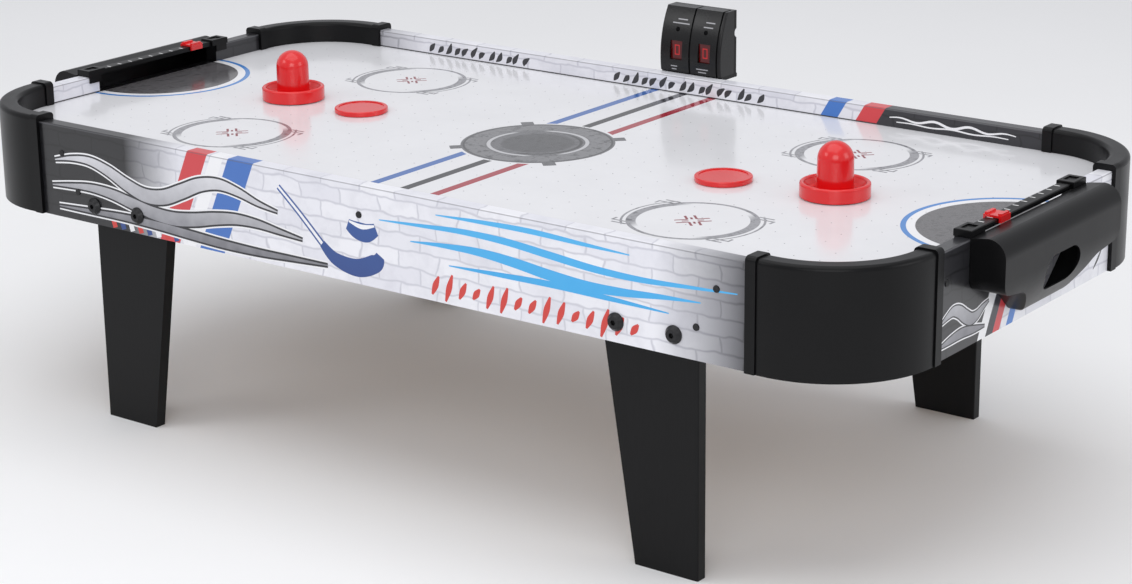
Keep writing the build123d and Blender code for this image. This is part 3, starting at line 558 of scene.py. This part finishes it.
def addPiece(name, mesh):
    # a flat film gets a closed body, grown towards the board it lies on
    piece = bpy.data.objects.new(name, mesh)
    bpy.context.scene.collection.objects.link(piece)
    body = piece.modifiers.new("film", "SOLIDIFY")
    body.thickness = film["thick"] * mm
    body.offset = -1
    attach(piece, "cabinet")


def paintStrokes(name, face, paint, runs, grow=0.0, lift=0.06):
    place, outward = faces[face]
    points, quads = [], []
    for k, run in enumerate(runs):
        line = smoothRun(run)
        for i, (u, v, w) in enumerate(line):
            before, after = line[max(i - 1, 0)], line[min(i + 1, len(line) - 1)]
            du, dv = after[0] - before[0], after[1] - before[1]
            size = math.hypot(du, dv) or 1.0
            half = w / 2 + grow
            # strokes that cross never share a plane
            height = lift + film["runStep"] * k + film["alongRise"] * i / len(line)
            points.append(place(u - dv / size * half, v + du / size * half, height))
            points.append(place(u + dv / size * half, v - du / size * half, height))
            if i:
                n = len(points)
                quads.append((n - 4, n - 3, n - 1, n - 2))
    mesh = bpy.data.meshes.new(name)
    mesh.from_pydata([Vector(p) * mm for p in points], [], quads)
    mesh.update()
    for polygon in mesh.polygons:
        if polygon.normal.dot(Vector(outward)) < 0:
            polygon.flip()
    mesh.materials.append(paints[paint])
    addPiece(name, mesh)


def wave(start, end, middle, height, turns, wide, phase=0.0):
    # a band that swells in the middle and thins to its ends
    run = []
    count = int(turns * 8) + 1
    for k in range(count):
        t = k / (count - 1)
        swell = math.sin(math.pi * t)
        rise = height * (0.35 + 0.65 * swell) * math.sin(2 * math.pi * turns * t + phase)
        run.append((start + (end - start) * t, middle + rise, 1.0 + wide * swell))
    return run


# rolling waves in three layers at the dark end of the front board
flourish = [
    wave(-398, -100, 262, 15, 1.5, 13, 0.6),
    wave(-404, -70, 238, 8, 1.5, 12, 0.2),
    wave(-396, -40, 218, 3, 1.0, 7),
]
paintStrokes("flourishHalo", "front", "halo", flourish, 3.4, 0.05)
paintStrokes("flourishEdge", "front", "ink", flourish, 1.9, 0.10)
paintStrokes("flourishFill", "front", "silver", flourish, 0.0, 0.15)

# a stick and a puck
shaft = [(-98, 284, 4), (-72, 262, 4.5), (-46, 238, 5)]
blade = [(-46, 238, 6), (-30, 226, 11), (-4, 222, 15), (18, 230, 15), (24, 238, 8)]
paintStrokes("stickEdge", "front", "navy", [shaft, blade], 1.0, 0.06)
paintStrokes("stickFill", "front", "halo", [shaft], -0.8, 0.11)
paintStrokes("stickBlade", "front", "navy", [blade], 0.0, 0.12)
puckSide = [(-14, 262, 9), (-4, 258, 15), (8, 257, 16), (20, 262, 10)]
puckTop = [(-12, 265, 2), (3, 262, 4.5), (18, 265, 2)]
paintStrokes("discEdge", "front", "navy", [puckSide], 0.8, 0.06)
paintStrokes("discTop", "front", "halo", [puckTop], 0.0, 0.12)

# long sweeps over the pale middle
sweeps = [
    wave(24, 408, 272, 6, 1.0, 6),
    wave(60, 372, 257, 6, 1.0, 9, 0.5),
    wave(104, 340, 243, 3, 0.5, 5),
    wave(90, 300, 287, 3, 0.5, 4, 0.3),
]
paintStrokes("sweeps", "front", "sky", sweeps)

# a row of slanted dashes under the sweeps
dash = {"count": 15, "start": 84, "pitch": 15.5, "up": 222, "wide": 6.5, "lean": 4}
dashes = []
for k in range(dash["count"]):
    at = dash["start"] + dash["pitch"] * k
    rise = 9 + 4 * math.sin(1.7 * k)
    dashes.append([
        (at, dash["up"] - rise, 2), (at + dash["lean"], dash["up"], dash["wide"]),
        (at + 2 * dash["lean"], dash["up"] + rise, 2)])
paintStrokes("dashes", "front", "red", dashes)

# small checks at the foot of the dark end, in three colours by turns
check = {"count": 9, "start": -322, "pitch": 12, "long": 6, "up": 211, "rise": 2, "wide": 8}
for turn, (name, paint) in enumerate((("checksRed", "red"), ("checksNavy", "navy"), ("checksWhite", "halo"))):
    starts = [check["start"] + check["pitch"] * k for k in range(turn, check["count"], 3)]
    runs = [
        [(at, check["up"], check["wide"]), (at + check["long"], check["up"] + check["rise"], check["wide"])]
        for at in starts]
    paintStrokes(name, "front", paint, runs, 0.0, 0.04)

# brush dashes inside the far rail
railDash = {"pitch": 12, "foot": 285.8, "waist": 290.5, "top": 298.5, "drop": 5.5, "wide": 6.2}


def railMarks(name, paint, start, end):
    runs = []
    for k in range(int((end - start) / railDash["pitch"])):
        at = start + railDash["pitch"] * k + 3.5 * math.sin(3.1 * k)
        top = railDash["top"] - railDash["drop"] * (1 + math.sin(2.3 * k)) / 2
        waist = (at + 3.5 + 2 * math.sin(k), railDash["waist"], railDash["wide"])
        runs.append([(at, railDash["foot"], 1.0), waist, (at + 8, top, 1.2)])
    paintStrokes(name, "backInside", paint, runs)


railMarks("farMarks", "ink", -345, -195)
railMarks("farMarksMiddle", "ink", -90, 110)
paintStrokes("farWave", "backInside", "halo", [
    wave(248, 388, 292.5, 2.2, 3.5, 1.6), wave(256, 380, 288.6, 0.8, 2.5, 0.6)])

# a smaller wave and a fleck on the near end
scribble = [wave(-152, -70, 238, 9, 1.0, 10, 0.3), wave(-156, -76, 218, 4, 0.5, 7, 0.2)]
paintStrokes("scribbleHalo", "right", "halo", scribble, 2.4, 0.05)
paintStrokes("scribbleEdge", "right", "ink", scribble, 1.2, 0.09)
paintStrokes("scribbleFill", "right", "silver", scribble, 0.0, 0.13)
paintStrokes("fleck", "right", "ink", [[(128, 216, 1), (136, 223, 3.0), (144, 232, 1)]])
print("strokes painted")

# air holes: a grid of small dark discs over the playfield, sizes in metres
holes = {
    "Columns": 37, "Rows": 17, "Pitch": 0.0254, "Radius": 0.0006, "lift": 0.00004, "sides": 8,
    "dark": (0.10, 0.10, 0.11), "pale": (0.20, 0.20, 0.21),
}


def holeGrid(shade):
    # the tree, and the identifier of each of its inputs
    tree = bpy.data.node_groups.new("airHoleGrid", "GeometryNodeTree")
    tree.interface.new_socket("Geometry", in_out="INPUT", socket_type="NodeSocketGeometry")
    tree.interface.new_socket("Geometry", in_out="OUTPUT", socket_type="NodeSocketGeometry")
    kinds = {"Columns": "Int", "Rows": "Int", "Pitch": "Float", "Radius": "Float", "Height": "Float"}
    inputs = {}
    for name, kind in kinds.items():
        socket = tree.interface.new_socket(name, in_out="INPUT", socket_type="NodeSocket" + kind)
        inputs[name] = socket.identifier
    net = Net(tree)
    columns, rows, pitch, radius, height = [net.add("NodeGroupInput", out=name) for name in kinds]
    grid = net.add("GeometryNodeMeshGrid", None, {
        "Size X": (columns - 1) * pitch, "Size Y": (rows - 1) * pitch,
        "Vertices X": columns, "Vertices Y": rows})
    disc = net.add("GeometryNodeMeshCircle", {"fill_type": "NGON"}, {
        "Vertices": holes["sides"], "Radius": radius})
    spread = net.add("GeometryNodeInstanceOnPoints", None, {"Points": grid, "Instance": disc})
    real = net.add("GeometryNodeRealizeInstances", None, {0: spread})
    lift = net.add("ShaderNodeCombineXYZ", None, {2: height})
    raised = net.add("GeometryNodeSetPosition", None, {"Geometry": real, "Offset": lift})
    painted = net.add("GeometryNodeSetMaterial", None, {"Geometry": raised, "Material": shade})
    net.add("NodeGroupOutput", None, {0: painted})
    return tree, inputs


def airHoles():
    net = Finish("holeShade")
    shade = net.close(net.mix(net.noise(300, 2), holes["dark"], holes["pale"]), 0.8)
    tree, inputs = holeGrid(shade)
    seed = bpy.data.objects.new("airHoleSeed", bpy.data.meshes.new("airHoleSeed"))
    bpy.context.scene.collection.objects.link(seed)
    modifier = seed.modifiers.new("grid", "NODES")
    modifier.node_group = tree
    sizes = dict(holes, Height=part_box("playfield")[1].z + holes["lift"])
    for name, identifier in inputs.items():
        modifier[identifier] = sizes[name]
    graph = bpy.context.evaluated_depsgraph_get()
    mesh = bpy.data.meshes.new_from_object(seed.evaluated_get(graph))
    bpy.data.objects.remove(seed)
    for polygon in mesh.polygons:
        if polygon.normal.z < 0:
            polygon.flip()
    addPiece("air_holes", mesh)
    print("air holes:", len(mesh.polygons))


airHoles()

# studio: a pale floor, four soft lamps and a pale room
studio = {
    "floor": 14.0, "pale": (0.90, 0.90, 0.90), "soft": (0.95, 0.95, 0.95),
    "room": (0.95, 0.96, 1.0), "light": 0.66,
}
lamps = {
    # place, aim, size, watts
    "topSoft": ((0.0, -0.3, 2.6), (0, 0, 0.25), (3.2, 2.6), 27),
    "nearSoft": ((1.8, -2.6, 1.5), (0, 0, 0.2), (1.8, 1.4), 19),
    "endSoft": ((3.0, 0.8, 1.3), (0.3, 0, 0.25), (1.4, 1.4), 10),
    "leftSoft": ((-1.6, -2.1, 1.8), (0, 0.2, 0.3), (1.1, 0.8), 7),
}
eye = {
    "place": (1.5406, -1.9931, 0.9309), "aim": (0.0453, -0.0173, 0.1433),
    "lean": -0.67, "lens": 84.62, "sensor": 36.0,
}


def gaze(place, aim):
    return (Vector(aim) - Vector(place)).to_track_quat("-Z", "Y")


def studioFloor():
    net = Finish("paperFloor")
    tint = net.mix(net.noise(1.5, 3), studio["pale"], studio["soft"])
    half = studio["floor"] / 2
    mesh = bpy.data.meshes.new("studioFloor")
    corners = [(-half, -half, 0), (half, -half, 0), (half, half, 0), (-half, half, 0)]
    mesh.from_pydata(corners, [], [(0, 1, 2, 3)])
    mesh.materials.append(net.close(tint, 0.85))
    floor = bpy.data.objects.new("studioFloor", mesh)
    bpy.context.scene.collection.objects.link(floor)


def softLight(name):
    place, aim, size, watts = lamps[name]
    lamp = bpy.data.lights.new(name, "AREA")
    lamp.shape = "RECTANGLE"
    lamp.size, lamp.size_y = size
    lamp.energy = watts
    item = bpy.data.objects.new(name, lamp)
    item.location = place
    item.rotation_euler = gaze(place, aim).to_euler()
    bpy.context.scene.collection.objects.link(item)


def paleRoom():
    world = bpy.data.worlds.new("paleRoom")
    world.use_nodes = True
    background = world.node_tree.nodes["Background"]
    background.inputs[0].default_value = (*studio["room"], 1)
    background.inputs[1].default_value = studio["light"]
    bpy.context.scene.world = world
    bpy.context.scene.view_settings.view_transform = "Standard"


def viewpoint():
    lens = bpy.data.cameras.new("eye")
    lens.lens, lens.sensor_width = eye["lens"], eye["sensor"]
    camera = bpy.data.objects.new("eye", lens)
    camera.location = eye["place"]
    camera.rotation_mode = "QUATERNION"
    lean = Quaternion((0, 0, 1), math.radians(eye["lean"]))
    camera.rotation_quaternion = gaze(eye["place"], eye["aim"]) @ lean
    bpy.context.scene.collection.objects.link(camera)
    bpy.context.scene.camera = camera


studioFloor()
for lampName in lamps:
    softLight(lampName)
paleRoom()
viewpoint()
print("studio set")
